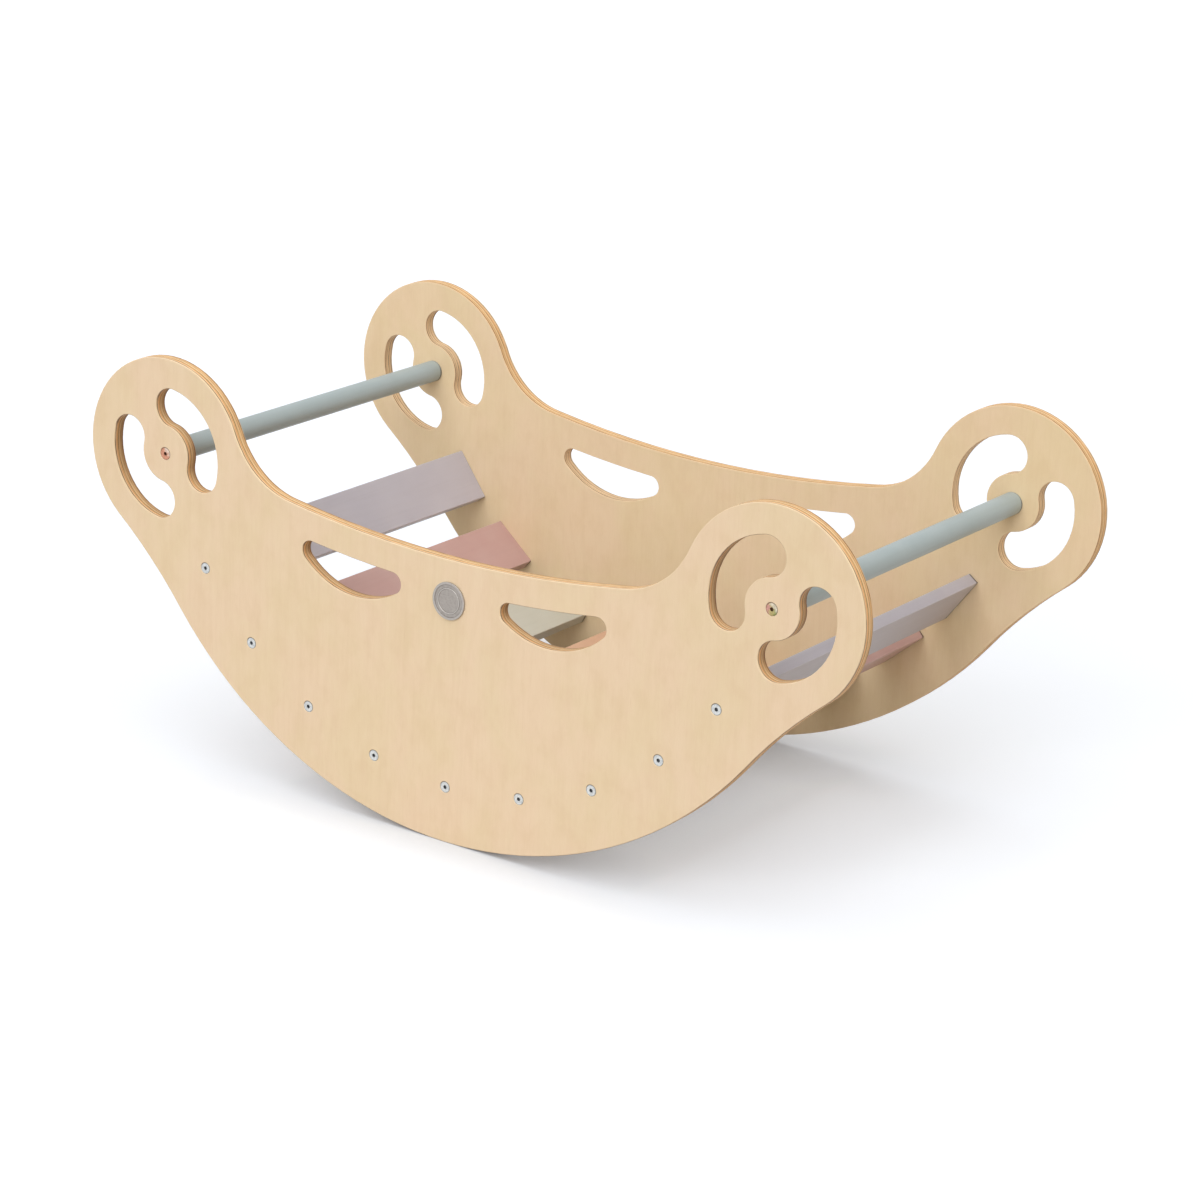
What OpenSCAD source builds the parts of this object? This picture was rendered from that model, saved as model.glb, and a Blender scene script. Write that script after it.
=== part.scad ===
// Climbing rocker boat: two plywood sides, nine painted slats and two round grip bars.
// Millimetres. X runs along the boat, Y across it and Z up, with the floor at Z = 0.
// The origin is midway between the sides, under the lowest point of the rocking edges.

/* [Side panels] */
// Thickness of each plywood side
panel_thick = 15; // [12:0.5:18]
// Clear width between the two sides
inner_width = 460; // [400:5:520]
// Distance between the centres of the two round ends
hub_spacing = 788; // [760:2:820]
// Height of the centres of the round ends above the floor
hub_height = 350; // [335:1:365]
// Radius of each round end
wheel_r = 107; // [102:1:115]
// Radius of the rocking edge
rocker_r = 479; // [460:1:500]
// Radius of the long hollow in the top edge
top_r = 1362; // [1100:2:1800]
// Depth of the middle of the top edge below the centres of the round ends
top_dip = 36; // [25:1:50]
// Radius of the short hollow where the top edge meets a round end
neck_r = 99; // [85:1:115]
// Radius of the long hollow between a round end and the rocking edge
flare_r = 561; // [450:1:700]

/* [Cut-outs of the round ends] */
// Width of the rim left outside the two cut-outs
rim_w = 32; // [26:1:38]
// Radius of the boss left around the bolt
boss_r = 32; // [28:1:38]
// Angle between the centres of a cut-out's round ends
kidney_sweep = 95; // [70:1:105]
// Angle of the middle of a cut-out above the horizontal
kidney_lean = 34; // [20:1:50]

/* [Hand slots] */
// Width of the grip left between a hand slot and the top edge
slot_margin = 32; // [25:1:36]
// Distance from the middle of the side to the middle of a hand slot
slot_place = 128; // [105:1:140]
// Depth of a hand slot at its middle
slot_depth = 42; // [34:1:48]
// Radius of the lower edge of a hand slot
slot_low_r = 102; // [90:1:130]
// Radius of the two corners of a hand slot
slot_corner_r = 12; // [8:0.5:14]

/* [Slats] */
// Width of a slat
slat_w = 62; // [54:1:68]
// Thickness of a slat
slat_thick = 14; // [12:0.5:18]
// Angle from one slat to the next, about the centre of the rocking edge
slat_step = 13.4; // [12.4:0.1:13.8]
// Height of the line of slat bolts above the rocking edge
slat_inset = 62; // [54:1:68]

/* [Grip bars] */
// Diameter of a grip bar
bar_d = 25; // [20:0.5:32]

/* [Slat bolts and sleeves] */
// Diameter of a slat bolt's head
slat_head_d = 12; // [10:0.5:14]
// Diameter of a slat bolt's shank
slat_shank_d = 6; // [5:0.5:6]
// How far a slat bolt reaches into its slat
slat_reach = 15; // [12:1:20]
// Width across the flats of a slat bolt's hexagon socket
slat_key_w = 4; // [3:0.5:5]
// Outer diameter of a threaded sleeve in a slat
slat_sleeve_d = 9; // [8:0.5:10]
// Length of a threaded sleeve in a slat
slat_sleeve_len = 18; // [16:1:24]

/* [Bar bolts and sleeves] */
// Diameter of a bar bolt's head
bar_head_d = 13.5; // [12:0.5:18]
// Diameter of a bar bolt's shank
bar_shank_d = 7; // [6:0.5:8]
// How far a bar bolt reaches into its bar
bar_reach = 24; // [18:1:30]
// Width across the flats of a bar bolt's hexagon socket
bar_key_w = 4; // [4:0.5:5]
// Outer diameter of a threaded sleeve in a bar
bar_sleeve_d = 11; // [10:0.5:13]
// Length of a threaded sleeve in a bar
bar_sleeve_len = 28; // [24:1:34]

/* [Dowels] */
// Diameter of a beech dowel beside a slat bolt
dowel_d = 7; // [6:0.5:8]
// Length of a dowel
dowel_len = 30; // [24:1:36]
// How far a dowel enters the side
dowel_in_panel = 8; // [6:0.5:9]
// Distance of each dowel from its slat bolt
dowel_offset = 19; // [15:0.5:21]

/* [Badge] */
// Diameter of the round metal badge
badge_d = 41; // [30:1:44]
// Thickness of the badge's plain field
badge_thick = 1.2; // [0.8:0.1:2]
// Height of the badge's raised rings above its field
badge_relief = 0.7; // [0.4:0.1:1]
// Width of the badge's outer ring
badge_rim_w = 2.4; // [1.5:0.1:3.5]
// Radius of the middle of the badge's inner ring
badge_bead_r = 13.6; // [10.5:0.1:14]
// Width of the badge's inner ring
badge_bead_w = 0.9; // [0.6:0.1:1.5]
// Depth of the badge's centre below the top edge
badge_drop = 44; // [36:1:56]
// Thickness of the badge's adhesive pad
pad_thick = 0.6; // [0.4:0.1:1]
// How far the pad stays inside the badge's edge
pad_inset = 1.5; // [0.5:0.1:3]

/* [Clearances] */
// Gap between a bolt's shank and the hole through the side
hole_clear = 0.4; // [0.2:0.05:0.6]
// Gap around a bolt's head, a sleeve or a dowel
seat_clear = 0.15; // [0.1:0.05:0.3]
// Gap between a bolt's shank and its sleeve
thread_clear = 0.15; // [0.1:0.05:0.3]
// Depth of a bolt's head below the face of the side
head_sink = 0.3; // [0.1:0.1:0.6]
// Height of the straight edge of a bolt's head
head_land = 0.6; // [0.3:0.1:1]
// Depth of a hexagon socket
socket_depth = 2.6; // [2:0.1:3]
// Room beyond the end of a bolt, sleeve or dowel
end_clear = 0.8; // [0.4:0.1:0.9]

/* [Hidden] */
$fn = 96;

overrun = 1;          // how far a cut runs past the face that it opens
blend_lap = 0.03;     // how far a blend bites past the point where it would only touch
long_fn = 360;        // facets of the large arcs
front = -1;           // the side that faces -Y
back = 1;             // the side that faces +Y
slat_places = [-4:4]; // slats counted from the middle one
hexagon = 6;          // sides of a bolt's socket
birch = "#E6CDA6";
beech = "#D9B68A";
lilac = "#C3B8BE";
pink = "#CFA59C";
sage = "#C6CAB8";
peach = "#DDB08A";
mist = "#AFBEBC";
zinc = "#B9BCBE";
yellow_zinc = "#C9A878";
steel = "#A9A9A6";
pad_grey = "#5A5A5A";
slat_colours = [lilac, pink, sage, peach, mist, peach, sage, pink, lilac];

outer_y = inner_width / 2 + panel_thick;
slat_line_r = rocker_r - slat_inset;
rocker_c = [0, rocker_r];
hub_c = [hub_spacing / 2, hub_height];
top_c = [0, hub_height - top_dip + top_r];
neck_c = circles_meet(hub_c, wheel_r + neck_r, top_c, top_r - neck_r, 1);
neck_root = toward(top_c, neck_c, top_r + wheel_r);
flare_c = circles_meet(hub_c, wheel_r + flare_r, rocker_c, rocker_r + flare_r, 1);
flare_root = toward(rocker_c, flare_c, rocker_r - wheel_r);

kidney_out_r = wheel_r - rim_w;
kidney_mid_r = (kidney_out_r + boss_r) / 2;
kidney_end_r = (kidney_out_r - boss_r) / 2;

slot_top_r = top_r + slot_margin;
slot_turn = asin(slot_place / top_r);
slot_axis = [sin(slot_turn), -cos(slot_turn)];
slot_low_c = top_c + slot_axis * (slot_top_r + slot_depth - slot_low_r);
slot_corners = [for (way = [-1, 1])
    circles_meet(top_c, slot_top_r + slot_corner_r, slot_low_c, slot_low_r - slot_corner_r, way)];

badge_c = [0, hub_height - top_dip - badge_drop];
pad_r = badge_d / 2 - pad_inset;

// Where two circles cross, on the side of the line between their centres that way picks
function circles_meet(c1, r1, c2, r2, way) =
    let (gap = norm(c2 - c1), along = (r1 * r1 - r2 * r2 + gap * gap) / (2 * gap),
         off = sqrt(r1 * r1 - along * along), u = (c2 - c1) / gap)
    c1 + along * u + way * off * [-u[1], u[0]];

// The point that lies a given distance from a, towards b
function toward(a, b, distance) = a + (b - a) * distance / norm(b - a);

function polar(radius, angle) = radius * [cos(angle), sin(angle)];

// A flat piece as thick as a side
module plate() {
    linear_extrude(panel_thick) children();
}

// A cut through a side, past both of its faces
module cut() {
    translate([0, 0, -overrun]) linear_extrude(panel_thick + 2 * overrun) children();
}

// One round end on the +X side, with the straight-sided webs that join it to the body
module round_end() {
    plate() translate(hub_c) circle(wheel_r, $fn = long_fn);
    plate() polygon([hub_c, neck_c, neck_root]);
    plate() polygon([hub_c, flare_c, flare_root]);
}

// The two hollows that blend a round end into the body
module round_end_hollows() {
    cut() translate(neck_c) circle(neck_r + blend_lap, $fn = long_fn);
    cut() translate(flare_c) circle(flare_r + blend_lap, $fn = long_fn);
}

// One kidney-shaped cut-out of the round end on the +X side: turn 0 is its upper one, 180 its lower
module cut_kidney(turn) {
    first = 180 - kidney_lean - kidney_sweep / 2 + turn;
    last = first + kidney_sweep;
    for (angle = [first, last])
        cut() translate(hub_c + polar(kidney_mid_r, angle)) circle(kidney_end_r + blend_lap);
    cut() difference() {
        intersection() {
            translate(hub_c) circle(kidney_out_r);
            polygon([hub_c, for (angle = [first, (first + last) / 2, last])
                hub_c + polar(2 * kidney_out_r, angle)]);
        }
        translate(hub_c) circle(boss_r);
    }
}

// The half-moon hand slot on the +X side: its top follows the top edge
module cut_hand_slot() {
    left = slot_corners[0];
    right = slot_corners[1];
    for (corner = slot_corners) cut() translate(corner) circle(slot_corner_r + blend_lap);
    cut() difference() {
        intersection() {
            translate(slot_low_c) circle(slot_low_r);
            polygon([toward(left, top_c, slot_depth), left, toward(slot_low_c, left, 3 * slot_low_r),
                     toward(slot_low_c, right, 3 * slot_low_r), right, toward(right, top_c, slot_depth)]);
        }
        translate(top_c) circle(slot_top_r, $fn = long_fn);
    }
}

// A side without its bores, flat on Z = 0, seen from the front
module panel_blank() {
    difference() {
        union() {
            difference() {
                plate() translate(rocker_c) circle(rocker_r, $fn = long_fn);
                cut() translate(top_c) circle(top_r, $fn = long_fn);
            }
            for (flip = [0, 1]) mirror([flip, 0, 0]) round_end();
        }
        for (flip = [0, 1]) mirror([flip, 0, 0]) {
            round_end_hollows();
            cut_hand_slot();
            for (turn = [0, 180]) cut_kidney(turn);
        }
    }
}

// Puts its children at a slat bolt: +Z points into the boat, X along the slat's width
module at_slat(place, side) {
    angle = place * slat_step;
    translate([slat_line_r * sin(angle), side * outer_y, rocker_r - slat_line_r * cos(angle)])
        rotate([0, -angle, 0]) rotate([side * 90, 0, 0]) children();
}

// Puts its children at a bar bolt: +Z points into the boat
module at_hub(end, side) {
    translate([end * hub_c[0], side * outer_y, hub_c[1]]) rotate([side * 90, 0, 0]) children();
}

// The hole for a countersunk bolt through a side, from its outer face
module panel_bore(head_d, shank_d) {
    hole_d = shank_d + 2 * hole_clear;
    pocket_d = head_d + 2 * seat_clear;
    pocket_z = head_sink + head_land;
    translate([0, 0, -overrun]) cylinder(h = panel_thick + 2 * overrun, d = hole_d);
    translate([0, 0, -overrun]) cylinder(h = pocket_z + overrun, d = pocket_d);
    translate([0, 0, pocket_z]) cylinder(h = (pocket_d - hole_d) / 2, d1 = pocket_d, d2 = hole_d);
}

// The blind hole for a threaded sleeve in the end of a slat or bar
module core_bore(sleeve_d, sleeve_len) {
    translate([0, 0, panel_thick - overrun])
        cylinder(h = sleeve_len + end_clear + overrun, d = sleeve_d + 2 * seat_clear);
}

// The two dowel holes beside a slat bolt, through the joint between side and slat
module dowel_bores() {
    for (way = [-1, 1])
        translate([way * dowel_offset, 0, panel_thick - dowel_in_panel - end_clear])
            cylinder(h = dowel_len + 2 * end_clear, d = dowel_d + 2 * seat_clear);
}

// A countersunk bolt with a hexagon socket
module countersunk_bolt(head_d, shank_d, reach, key_w) {
    translate([0, 0, head_sink]) difference() {
        union() {
            cylinder(h = head_land, d = head_d);
            translate([0, 0, head_land]) cylinder(h = (head_d - shank_d) / 2, d1 = head_d, d2 = shank_d);
            cylinder(h = panel_thick + reach - head_sink, d = shank_d);
        }
        translate([0, 0, -overrun])
            cylinder(h = socket_depth + overrun, d = key_w / cos(180 / hexagon), $fn = hexagon);
    }
}

// A threaded sleeve, flush with the end of its slat or bar
module sleeve(sleeve_d, shank_d, sleeve_len) {
    translate([0, 0, panel_thick]) difference() {
        cylinder(h = sleeve_len, d = sleeve_d);
        translate([0, 0, -overrun])
            cylinder(h = sleeve_len + 2 * overrun, d = shank_d + 2 * thread_clear);
    }
}

module side_panel(side) {
    color(birch) difference() {
        translate([0, side * inner_width / 2 + (side + 1) / 2 * panel_thick, 0])
            rotate([90, 0, 0]) panel_blank();
        for (place = slat_places) at_slat(place, side) {
            panel_bore(slat_head_d, slat_shank_d);
            dowel_bores();
        }
        for (end = [-1, 1]) at_hub(end, side) panel_bore(bar_head_d, bar_shank_d);
    }
}

module slat(number) {
    place = slat_places[0] + number - 1;
    angle = place * slat_step;
    color(slat_colours[number - 1]) difference() {
        translate([slat_line_r * sin(angle), 0, rocker_r - slat_line_r * cos(angle)])
            rotate([0, -angle, 0]) cube([slat_w, inner_width, slat_thick], center = true);
        for (side = [front, back]) at_slat(place, side) {
            core_bore(slat_sleeve_d, slat_sleeve_len);
            dowel_bores();
        }
    }
}

module grip_bar(end) {
    color(mist) difference() {
        translate([end * hub_c[0], -inner_width / 2, hub_c[1]])
            rotate([-90, 0, 0]) cylinder(h = inner_width, d = bar_d);
        for (side = [front, back]) at_hub(end, side) core_bore(bar_sleeve_d, bar_sleeve_len);
    }
}

module slat_bolts(side) {
    color(zinc) for (place = slat_places)
        at_slat(place, side) countersunk_bolt(slat_head_d, slat_shank_d, slat_reach, slat_key_w);
}

module bar_bolts(side) {
    color(yellow_zinc) for (end = [-1, 1])
        at_hub(end, side) countersunk_bolt(bar_head_d, bar_shank_d, bar_reach, bar_key_w);
}

module slat_sleeves(side) {
    color(zinc) for (place = slat_places)
        at_slat(place, side) sleeve(slat_sleeve_d, slat_shank_d, slat_sleeve_len);
}

module bar_sleeves(end) {
    color(zinc) for (side = [front, back])
        at_hub(end, side) sleeve(bar_sleeve_d, bar_shank_d, bar_sleeve_len);
}

module slat_dowels(side) {
    color(beech) for (place = slat_places, way = [-1, 1])
        at_slat(place, side) translate([way * dowel_offset, 0, panel_thick - dowel_in_panel])
            cylinder(h = dowel_len, d = dowel_d);
}

// Puts its children on the front side at the badge: +Z points out of the boat
module at_badge() {
    translate([badge_c[0], front * outer_y, badge_c[1]]) rotate([90, 0, 0]) children();
}

module ring(outer_r, width, height) {
    difference() {
        cylinder(h = height, r = outer_r);
        translate([0, 0, -overrun]) cylinder(h = height + 2 * overrun, r = outer_r - width);
    }
}

module badge() {
    color(steel) at_badge() translate([0, 0, pad_thick]) {
        cylinder(h = badge_thick, d = badge_d);
        ring(badge_d / 2, badge_rim_w, badge_thick + badge_relief);
        ring(badge_bead_r + badge_bead_w / 2, badge_bead_w, badge_thick + badge_relief);
    }
}

module badge_pad() {
    color(pad_grey) at_badge() cylinder(h = pad_thick, r = pad_r);
}

side_panel(front);  // side_panel_front
side_panel(back);  // side_panel_back
slat(1);  // slat_1
slat(2);  // slat_2
slat(3);  // slat_3
slat(4);  // slat_4
slat(5);  // slat_5
slat(6);  // slat_6
slat(7);  // slat_7
slat(8);  // slat_8
slat(9);  // slat_9
grip_bar(-1);  // grip_bar_left
grip_bar(1);  // grip_bar_right
slat_bolts(front);  // slat_bolts_front
slat_bolts(back);  // slat_bolts_back
bar_bolts(front);  // bar_bolts_front
bar_bolts(back);  // bar_bolts_back
slat_sleeves(front);  // slat_sleeves_front
slat_sleeves(back);  // slat_sleeves_back
bar_sleeves(-1);  // bar_sleeves_left
bar_sleeves(1);  // bar_sleeves_right
slat_dowels(front);  // slat_dowels_front
slat_dowels(back);  // slat_dowels_back
badge();
badge_pad();
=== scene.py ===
import math

import bpy
from mathutils import Matrix, Vector

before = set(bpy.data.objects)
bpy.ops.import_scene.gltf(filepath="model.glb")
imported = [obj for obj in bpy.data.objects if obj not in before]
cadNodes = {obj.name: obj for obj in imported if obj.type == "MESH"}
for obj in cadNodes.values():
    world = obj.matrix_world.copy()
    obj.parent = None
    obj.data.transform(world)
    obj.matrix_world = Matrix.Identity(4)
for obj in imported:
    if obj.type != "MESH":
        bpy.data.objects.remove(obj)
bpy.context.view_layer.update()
print("frame loaded,", len(cadNodes), "nodes")


# 0-255 as picked on screen, to Blender's linear colour
def tint(red, green, blue):
    values = []
    for part in (red, green, blue):
        share = part / 255
        values.append(share / 12.92 if share <= 0.04045 else ((share + 0.055) / 1.055) ** 2.4)
    return (*values, 1.0)


# links a socket to another one, or sets its plain value
def plug(tree, socket, value):
    if isinstance(value, bpy.types.NodeSocket):
        tree.links.new(value, socket)
    else:
        socket.default_value = value


# a shader node, its inputs fed by number or name and its settings given by name
def put(tree, kind, feeds=None, **settings):
    node = tree.nodes.new("ShaderNode" + kind)
    for key, value in settings.items():
        setattr(node, key, value)
    for key, value in (feeds or {}).items():
        plug(tree, node.inputs[key], value)
    return node


def sums(tree, operation, first, second=0.0, third=None):
    node = put(tree, "Math", {0: first, 1: second}, operation=operation)
    if third is not None:
        plug(tree, node.inputs[2], third)
    return node.outputs[0]


def times(tree, first, second):
    return sums(tree, "MULTIPLY", first, second)


def minus(tree, first, second):
    return sums(tree, "SUBTRACT", first, second)


def size(tree, value):
    return sums(tree, "ABSOLUTE", value)


def axes(tree, vector):
    return put(tree, "SeparateXYZ", {0: vector}).outputs


def join(tree, x, y, z=0.0):
    return put(tree, "CombineXYZ", {0: x, 1: y, 2: z}).outputs[0]


def length(tree, vector):
    return put(tree, "VectorMath", {0: vector}, operation="LENGTH").outputs["Value"]


# a smooth step between two values, as the value passes from one end of the span to the other
def ease(tree, value, span, fromValue=0.0, toValue=1.0):
    node = put(tree, "MapRange", {"Value": value, "From Min": span[0], "From Max": span[1],
                                  "To Min": fromValue, "To Max": toValue},
               interpolation_type="SMOOTHSTEP")
    return node.outputs["Result"]


def mixColour(tree, share, first, second, way="MIX"):
    node = put(tree, "Mix", data_type="RGBA", blend_type=way)
    for number, value in ((0, share), (6, first), (7, second)):   # 6 and 7 are its two colours
        plug(tree, node.inputs[number], value)
    return node.outputs[2]


def mixValue(tree, share, first, second):
    node = put(tree, "Mix", {0: share, 2: first, 3: second}, data_type="FLOAT")
    return node.outputs[0]


# mixes a second colour over the first, where a pattern is in its span and up to its share
def mark(tree, pattern, spanAndShare, first, second):
    span, share = spanAndShare
    return mixColour(tree, ease(tree, pattern, span, 0.0, share), first, second)


def stretch(tree, place, scale):
    return put(tree, "Mapping", {"Vector": place, "Scale": scale}).outputs[0]


# turns the grain's direction from Z to Y
def layAlongY(tree, place):
    return put(tree, "Mapping", {"Vector": place, "Rotation": (math.pi / 2, 0, 0)}).outputs[0]


def cloud(tree, place, scale, detail=2.0, rough=0.5, warp=0.0):
    node = put(tree, "TexNoise", {"Vector": place, "Scale": scale, "Detail": detail,
                                  "Roughness": rough, "Distortion": warp})
    return node.outputs[0]


def ramp(tree, value, stops, steps="CONSTANT"):
    node = put(tree, "ValToRGB", {0: value})
    band = node.color_ramp
    band.interpolation = steps
    while len(band.elements) < len(stops):
        band.elements.new(0.5)
    for element, (position, colour) in zip(band.elements, stops):
        element.position = position
        element.color = colour if isinstance(colour, tuple) else (colour, colour, colour, 1.0)
    return node.outputs[0]


# a node group, with a label and a kind for each thing that it takes and gives
def newGroup(name, takes, gives):
    group = bpy.data.node_groups.new(name, "ShaderNodeTree")
    kinds = {"value": "NodeSocketFloat", "vector": "NodeSocketVector", "colour": "NodeSocketColor"}
    for way, sockets in (("INPUT", takes), ("OUTPUT", gives)):
        for label, kind in sockets:
            group.interface.new_socket(name=label, in_out=way, socket_type=kinds[kind])
    return (group, group.nodes.new("NodeGroupInput").outputs,
            group.nodes.new("NodeGroupOutput").inputs)


def useGroup(tree, group, feeds):
    node = tree.nodes.new("ShaderNodeGroup")
    node.node_tree = group
    for key, value in feeds.items():
        plug(tree, node.inputs[key], value)
    return node.outputs


def newMaterial(name):
    material = bpy.data.materials.new(name)
    material.use_nodes = True
    tree = material.node_tree
    tree.nodes.clear()
    shader = put(tree, "BsdfPrincipled")
    put(tree, "OutputMaterial", {"Surface": shader.outputs[0]})
    return material, tree, shader, put(tree, "TexCoord").outputs


# feeds a finished surface to the shader; bump is its strength, and its depth in metres
def dress(tree, shader, colour, roughness, height, bump):
    plug(tree, shader.inputs["Base Color"], colour)
    plug(tree, shader.inputs["Roughness"], roughness)
    relief = put(tree, "Bump", {"Height": height, "Strength": bump[0], "Distance": bump[1]})
    plug(tree, shader.inputs["Normal"], relief.outputs[0])


cameraValues = {
    "place": (2.2107, -3.1508, 1.5015),
    "turn": 0.6076,     # radians round the vertical
    "tilt": 0.3238,     # radians down
    "lean": -0.0394,    # radians of roll
    "lens": 111.2, "sensor": 36,   # millimetres
    "farthest": 200,    # metres that it sees
}


def makeCamera(values):
    turn, tilt, lean = values["turn"], values["tilt"], values["lean"]
    ahead = Vector((-math.sin(turn) * math.cos(tilt), math.cos(turn) * math.cos(tilt),
                    -math.sin(tilt)))
    level = Vector((math.cos(turn), math.sin(turn), 0))
    below = ahead.cross(level)
    right = level * math.cos(lean) + below * math.sin(lean)
    down = below * math.cos(lean) - level * math.sin(lean)
    lens = bpy.data.cameras.new("camera")
    lens.lens = values["lens"]
    lens.sensor_width = values["sensor"]
    lens.sensor_fit = "HORIZONTAL"
    lens.clip_end = values["farthest"]
    camera = bpy.data.objects.new("camera", lens)
    turned = Matrix((right, -down, -ahead)).transposed().to_4x4()
    camera.matrix_world = Matrix.Translation(values["place"]) @ turned
    bpy.context.scene.collection.objects.link(camera)
    bpy.context.scene.camera = camera


makeCamera(cameraValues)
print("camera set")


studioValues = {
    "skyColour": (1.0, 0.91, 0.80, 1.0), "skyStrength": 0.29,
    "floorColour": tint(184, 171, 152), "floorSpeck": tint(188, 175, 156),   # lights the object
    "floorSeen": tint(225, 231, 240),   # what the camera sees of the floor
    "floorTopUp": 0.27,        # added for the camera only, so that the open floor reads white
    "contactReach": 0.11,      # the floor darkens this close under the object, in metres
    "contactShade": 0.4, "contactSpan": (0.0, 0.85), "contactSamples": 2,
    "speck": (60.0, 3.0), "speckSpan": (0.3, 0.7),   # a noise's scale and detail, and its span
    "floorRoughness": 0.9, "floorSpecular": 0.1,
    "floorRadius": 40.0, "floorSides": 64,
    # turn from the front towards the right, height and spread in degrees, strength
    "lamps": {"front": (8, 27, 42, 1.35), "side": (60, 30, 80, 0.62), "top": (0, 80, 80, 1.45)},
    "lampDistance": 4,
}


# 1 where the camera looks straight at the floor or sky, or by way of a mirror or glass
def seenDirectly(tree):
    path = put(tree, "LightPath").outputs
    seen = sums(tree, "MAXIMUM", path["Is Camera Ray"], path["Is Glossy Ray"])
    return sums(tree, "MAXIMUM", seen, path["Is Transmission Ray"])


def makeSky(values):
    world = bpy.data.worlds.new("studio")
    world.use_nodes = True
    tree = world.node_tree
    tree.nodes.clear()
    seen = seenDirectly(tree)
    sky = put(tree, "Background", {
        "Color": mixColour(tree, seen, values["skyColour"], (1, 1, 1, 1)),
        "Strength": mixValue(tree, seen, values["skyStrength"], 1.0)})
    put(tree, "OutputWorld", {"Surface": sky.outputs[0]})
    bpy.context.scene.world = world


def makeFloor(values):
    radius, sides = values["floorRadius"], values["floorSides"]
    mesh = bpy.data.meshes.new("floor")
    angles = [2 * math.pi * step / sides for step in range(sides)]
    mesh.from_pydata([(radius * math.cos(angle), radius * math.sin(angle), 0) for angle in angles],
                     [], [list(range(sides))])
    floor = bpy.data.objects.new("floor", mesh)
    bpy.context.scene.collection.objects.link(floor)

    material, tree, shader, place = newMaterial("floorPaper")
    speck = ease(tree, cloud(tree, place["Object"], *values["speck"]), values["speckSpan"])
    paper = mixColour(tree, speck, values["floorColour"], values["floorSpeck"])
    openness = put(tree, "AmbientOcclusion", {"Distance": values["contactReach"]},
                   samples=values["contactSamples"])
    shade = ease(tree, openness.outputs["AO"], values["contactSpan"], values["contactShade"], 1.0)
    shaded = mixColour(tree, 1.0, values["floorSeen"], shade, "MULTIPLY")
    seen = seenDirectly(tree)
    plug(tree, shader.inputs["Base Color"], mixColour(tree, seen, paper, shaded))
    shader.inputs["Roughness"].default_value = values["floorRoughness"]
    shader.inputs["Specular IOR Level"].default_value = values["floorSpecular"]
    shader.inputs["Emission Color"].default_value = (1, 1, 1, 1)
    plug(tree, shader.inputs["Emission Strength"],
         times(tree, times(tree, seen, shade), values["floorTopUp"]))
    mesh.materials.append(material)


def makeLamps(values):
    for name, (turn, height, spread, strength) in values["lamps"].items():
        lamp = bpy.data.lights.new(name + "Lamp", "SUN")
        lamp.energy = strength
        lamp.angle = math.radians(spread)
        holder = bpy.data.objects.new(name + "Lamp", lamp)
        turn, height = math.radians(turn), math.radians(height)
        towards = Vector((math.sin(turn) * math.cos(height), -math.cos(turn) * math.cos(height),
                          math.sin(height)))
        holder.rotation_euler = towards.to_track_quat("Z", "Y").to_euler()
        holder.location = towards * values["lampDistance"]
        bpy.context.scene.collection.objects.link(holder)


makeSky(studioValues)
makeFloor(studioValues)
makeLamps(studioValues)
print("studio set")


# In all the values below, a noise is its scale, detail, roughness and warp, a span is where a
# pattern starts and is full, and a bump is a strength and a depth in metres.

fibreValues = {
    "broad": (0.35, 3.0, 0.6, 0.3), "fine": (3.2, 2.0, 0.6),
    "cellScale": 0.55, "fleckSpan": (0.02, 0.16),
    "fleckPick": (0.72, 0.9),   # only some of the cells hold a fleck
}


# streaks that run along the Z of the place given to it
def makeFibres(values):
    group, takes, gives = newGroup(
        "fibres", [("Place", "vector"), ("Width", "value"), ("Length", "value"), ("Seed", "value")],
        [("Broad", "value"), ("Fine", "value"), ("Fleck", "value")])
    parts = axes(group, takes["Place"])
    across = sums(group, "DIVIDE", parts[0], takes["Width"])
    depth = sums(group, "DIVIDE", parts[1], takes["Width"])
    along = sums(group, "DIVIDE", parts[2], takes["Length"])
    lane = join(group, across, sums(group, "ADD", depth, takes["Seed"]), along)
    plug(group, gives["Broad"], cloud(group, lane, *values["broad"]))
    plug(group, gives["Fine"], cloud(group, lane, *values["fine"]))
    cells = put(group, "TexVoronoi", {"Vector": lane, "Scale": values["cellScale"],
                                      "Randomness": 1.0}).outputs
    near = ease(group, cells["Distance"], values["fleckSpan"], 1.0, 0.0)
    pick = put(group, "SeparateColor", {0: cells["Color"]}).outputs[0]
    plug(group, gives["Fleck"], times(group, near, ease(group, pick, values["fleckPick"])))
    return group


handlingValues = {
    "smudge": (4.0, 0.55), "smudgeSpan": (0.3, 0.7),   # this noise's scale comes from its size
    "dust": (1400.0, 1.0), "dustSpan": (0.68, 0.78),
}


# soft smudges and dust that every handled surface has
def makeHandling(values):
    group, takes, gives = newGroup("handling", [("Place", "vector"), ("Size", "value")],
                                   [("Smudge", "value"), ("Speck", "value")])
    scale = sums(group, "DIVIDE", 1.0, takes["Size"])
    smudge = cloud(group, takes["Place"], scale, *values["smudge"])
    plug(group, gives["Smudge"], ease(group, smudge, values["smudgeSpan"]))
    dust = cloud(group, takes["Place"], *values["dust"])
    plug(group, gives["Speck"], ease(group, dust, values["dustSpan"]))
    return group


# where the CAD puts things, in metres and degrees
layout = {
    "outerFace": 0.245, "thickness": 0.015, "headFace": 0.2447,
    "rockerHeight": 0.479, "boltRing": 0.417, "slatStep": 13.4, "slats": 9,
    "hub": (0.394, 0.350), "badgeHeight": 0.270,
    "slatHead": 0.006, "barHead": 0.00675,   # radii of the bolts' heads
    "badgeRadius": 0.0205, "badgeRim": 0.0024, "badgeBead": 0.0136, "badgeBeadHalf": 0.00045,
}


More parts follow.
